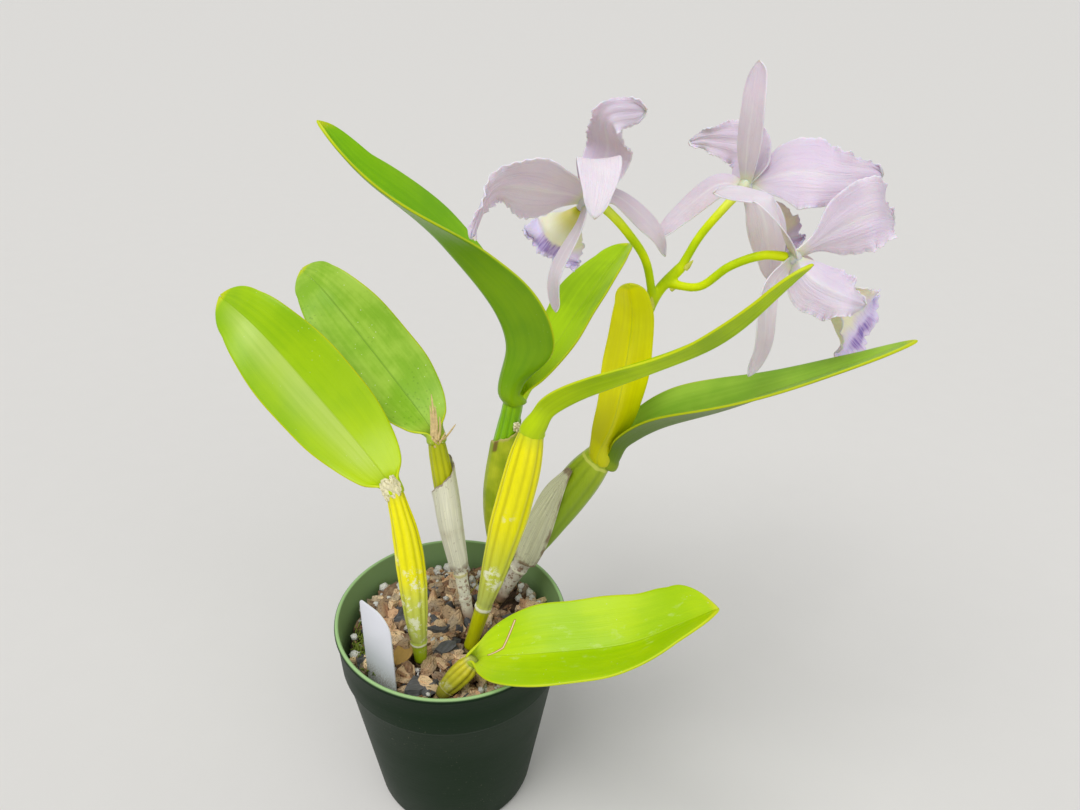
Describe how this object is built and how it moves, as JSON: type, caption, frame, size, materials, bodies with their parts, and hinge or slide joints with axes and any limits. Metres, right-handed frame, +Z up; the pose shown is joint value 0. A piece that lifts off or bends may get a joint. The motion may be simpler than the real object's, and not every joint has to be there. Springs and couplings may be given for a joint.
{
  "type": "potted cattleya orchid",
  "caption": "Cattleya orchid in flower: tall ribbed pseudobulbs with thick strap leaves and lilac blooms with ruffled petals and a frilled lip, in a tapered green plastic pot of bark",
  "frame": {"origin": "centre of the flat underside of the pot", "axes": "+Z up out of the pot, -Y towards the front, where the short pseudobulb and the label stand, +X towards the side that the flower stem leans to"},
  "size_m": [0.3376, 0.2225, 0.4047],
  "materials": {
    "pot": "dark green moulded plastic with a satin surface",
    "potting_mix": "rough bark chips with charcoal and perlite",
    "plant_label": "off-white plastic, blank",
    "rhizome": "dry woody stem",
    "pseudobulb_yellow": "yellow-green, ribbed and waxy",
    "pseudobulb_green": "olive green, ribbed and waxy",
    "leaf": "thick leathery leaf, satin, with a yellow margin",
    "leaf_yellow": "thick leathery leaf, satin, turning yellow",
    "dry_sheath": "dry papery sheath",
    "flower_stem": "smooth fresh green",
    "petal": "soft pale lilac petal",
    "lip": "cream throat with a lavender frilled lobe"
  },
  "bodies": {
    "root": {"pot": "pot", "potting_mix": "potting_mix", "plant_label": "plant_label", "rhizome": "rhizome", "pseudobulb_front_left": "pseudobulb_yellow", "pseudobulb_back_left": "pseudobulb_yellow", "pseudobulb_back_centre": "pseudobulb_green", "pseudobulb_centre": "pseudobulb_yellow", "pseudobulb_flowering": "pseudobulb_green", "pseudobulb_short": "pseudobulb_yellow", "leaf_front_left": "leaf", "leaf_back_left": "leaf", "leaf_back_upper": "leaf", "leaf_back_right": "leaf", "leaf_right_upper": "leaf", "leaf_flower_front": "leaf_yellow", "leaf_flower_right": "leaf", "leaf_short": "leaf", "sheath_back_left": "dry_sheath", "sheath_flowering": "dry_sheath", "flower_stem": "flower_stem", "bloom_left": "petal", "bloom_top": "petal", "bloom_right": "petal", "lip_left": "lip", "lip_top": "lip", "lip_right": "lip"}
  },
  "joints": []
}
